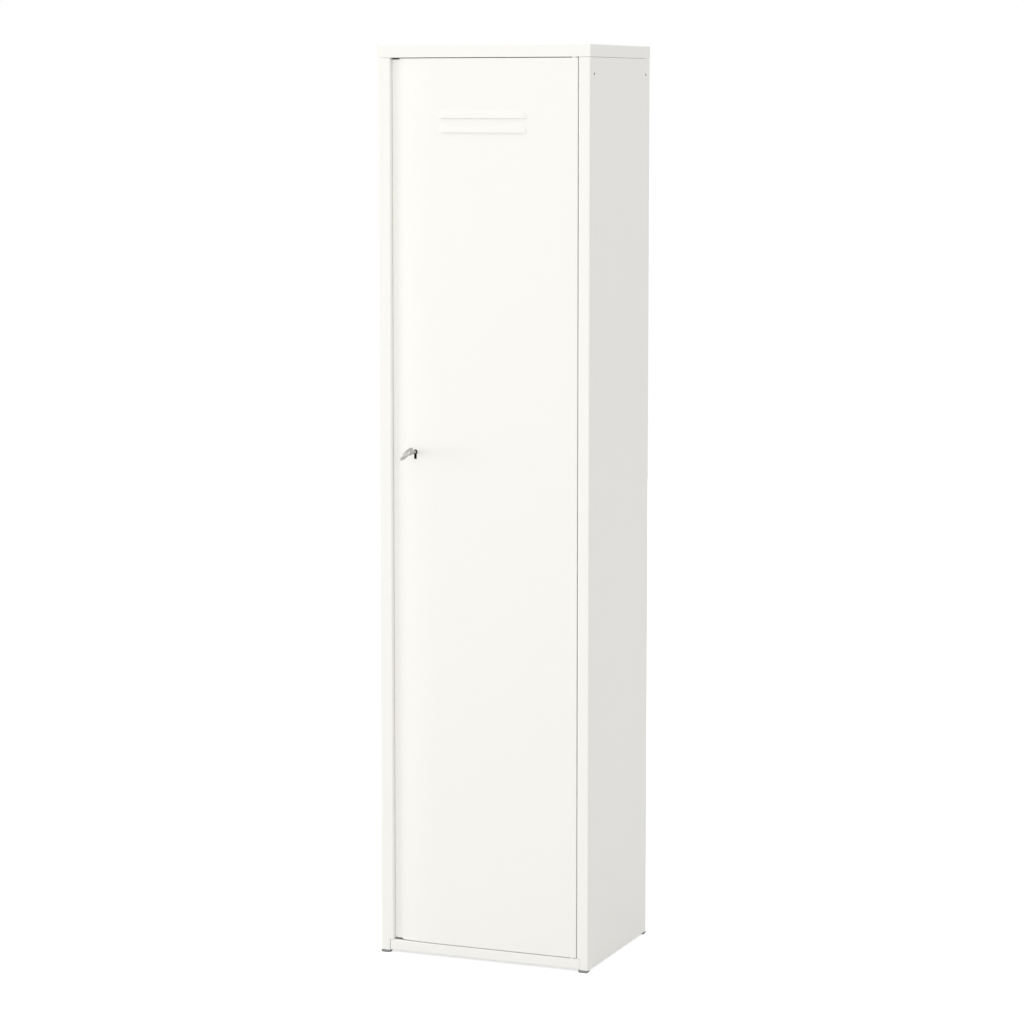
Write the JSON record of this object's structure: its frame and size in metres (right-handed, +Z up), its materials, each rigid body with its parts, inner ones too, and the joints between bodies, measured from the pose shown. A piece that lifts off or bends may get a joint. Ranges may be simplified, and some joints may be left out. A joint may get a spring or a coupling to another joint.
{
  "type": "single door steel locker",
  "caption": "Tall narrow free-standing steel locker with one flush door, vent louvres, a full-height finger grip, shelves and a key lock.",
  "frame": {"origin": "on the floor, under the middle of the locker's outline with its key", "axes": "+X to the right as seen from the front, +Y from the door to the back, +Z up"},
  "size_m": [0.4, 0.353, 1.628],
  "materials": {
    "white_paint": "satin",
    "zinc_steel": "satin",
    "nickel": "polished",
    "nylon": "matte",
    "grey_plastic": "matte",
    "rubber": "matte"
  },
  "bodies": {
    "carcass": {"side_panel_left": "white_paint", "side_panel_right": "white_paint", "strike_plate": "zinc_steel", "top_cap": "white_paint", "base_tray": "white_paint", "back_panel": "white_paint", "upright_front_left": "white_paint", "upright_rear_left": "white_paint", "upright_front_right": "white_paint", "upright_rear_right": "white_paint", "shelf_lower": "white_paint", "shelf_clip_lower_front_left": "zinc_steel", "shelf_clip_lower_rear_left": "zinc_steel", "shelf_clip_lower_front_right": "zinc_steel", "shelf_clip_lower_rear_right": "zinc_steel", "shelf_upper": "white_paint", "shelf_clip_upper_front_left": "zinc_steel", "shelf_clip_upper_rear_left": "zinc_steel", "shelf_clip_upper_front_right": "zinc_steel", "shelf_clip_upper_rear_right": "zinc_steel", "foot_front_left": "grey_plastic", "foot_rear_left": "grey_plastic", "foot_front_right": "grey_plastic", "foot_rear_right": "grey_plastic", "door_buffer_lower": "rubber", "door_buffer_upper": "rubber", "hinge_bush_lower": "nylon", "hinge_bush_upper": "nylon"},
    "door": {"door_skin": "white_paint", "door_edge_hinge": "white_paint", "door_edge_lock": "white_paint", "door_end_lower": "white_paint", "door_end_upper": "white_paint", "door_stiffener": "white_paint", "hinge_pin_lower": "zinc_steel", "hinge_pin_upper": "zinc_steel", "lock_case": "zinc_steel", "lock_cover": "zinc_steel", "lock_stud_lower": "zinc_steel", "lock_nut_lower": "zinc_steel", "lock_stud_upper": "zinc_steel", "lock_nut_upper": "zinc_steel"},
    "key": {"key": "nickel"},
    "bolt": {"lock_bolt": "zinc_steel"}
  },
  "joints": [
    {"name": "door_swing", "type": "hinge", "parent": "carcass", "child": "door", "pos_m": [0.1697, -0.1205, 0.8154], "axis": [0, 0, 1], "range_deg": [0, 105]},
    {"name": "key_turn", "type": "hinge", "parent": "door", "child": "key", "pos_m": [-0.1302, -0.1255, 0.9125], "axis": [0, -1, 0], "range_deg": [0, 84]},
    {"name": "bolt_slide", "type": "slide", "parent": "door", "child": "bolt", "axis": [-1, 0, 0], "range_m": [0, 0.01068]}
  ],
  "couplings": [
    {"joint": "key_turn", "follows": "bolt_slide", "rad_per_m": 137.1}
  ]
}
